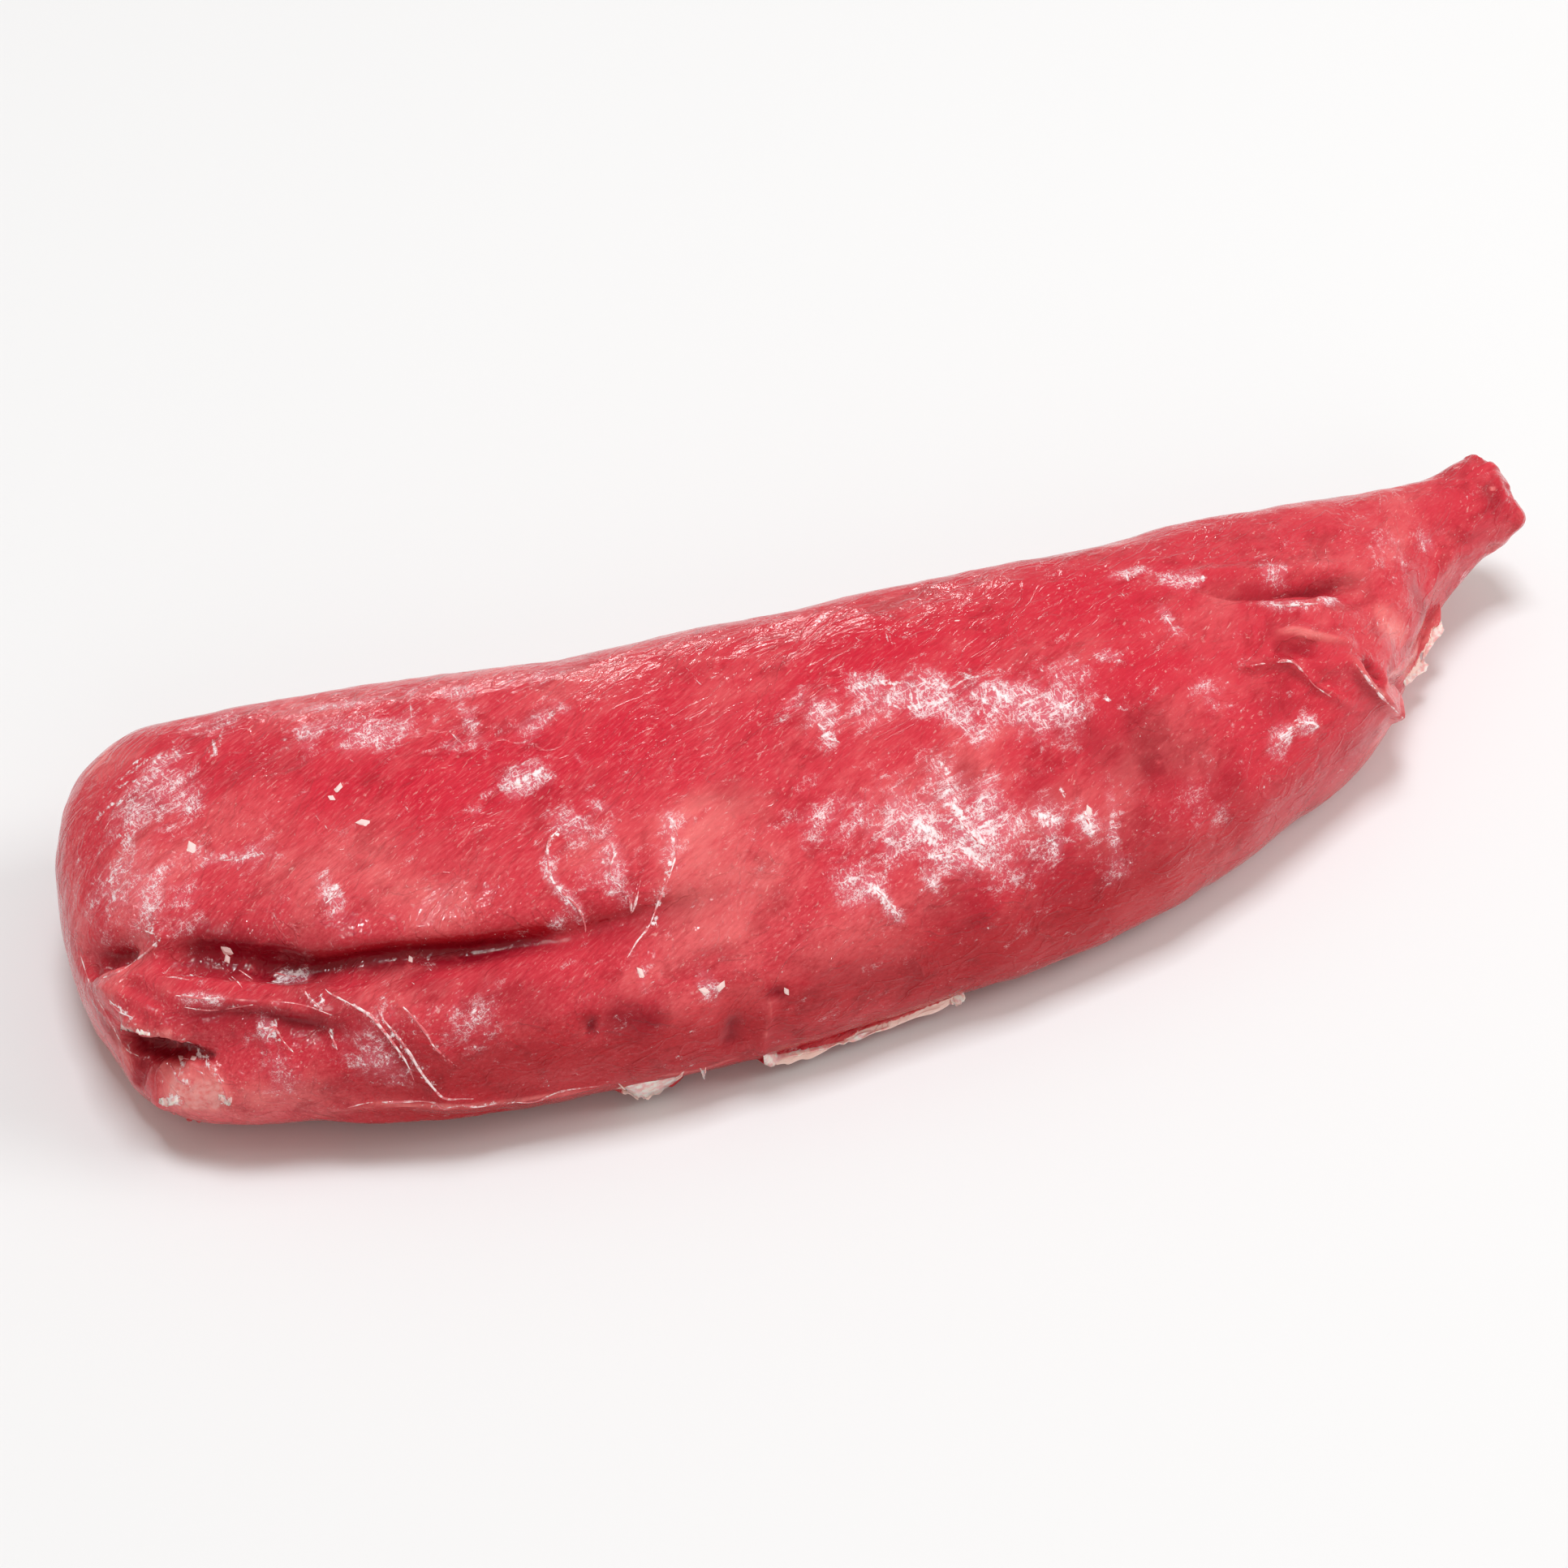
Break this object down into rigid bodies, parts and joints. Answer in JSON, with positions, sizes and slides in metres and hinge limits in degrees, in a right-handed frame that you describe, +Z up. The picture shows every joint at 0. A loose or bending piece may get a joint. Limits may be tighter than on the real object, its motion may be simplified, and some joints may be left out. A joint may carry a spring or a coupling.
{
  "type": "tuna loin",
  "caption": "Trimmed frozen tuna loin, a blunt shoulder end tapering to a narrow tail, with a long fold along its belly side and a flat underside to rest on.",
  "frame": {"origin": "middle of the loin's bounding box in plan, on the surface that it lies on", "axes": "+X along the loin from the blunt shoulder end to the tail tip, +Y to the straight back edge, +Z up"},
  "size_m": [0.5508, 0.1854, 0.0806],
  "materials": {
    "flesh": "deep red raw tuna flesh under a thin clear ice glaze, moist and satin to glossy"
  },
  "bodies": {
    "root": {"loin": "flesh"}
  },
  "joints": []
}
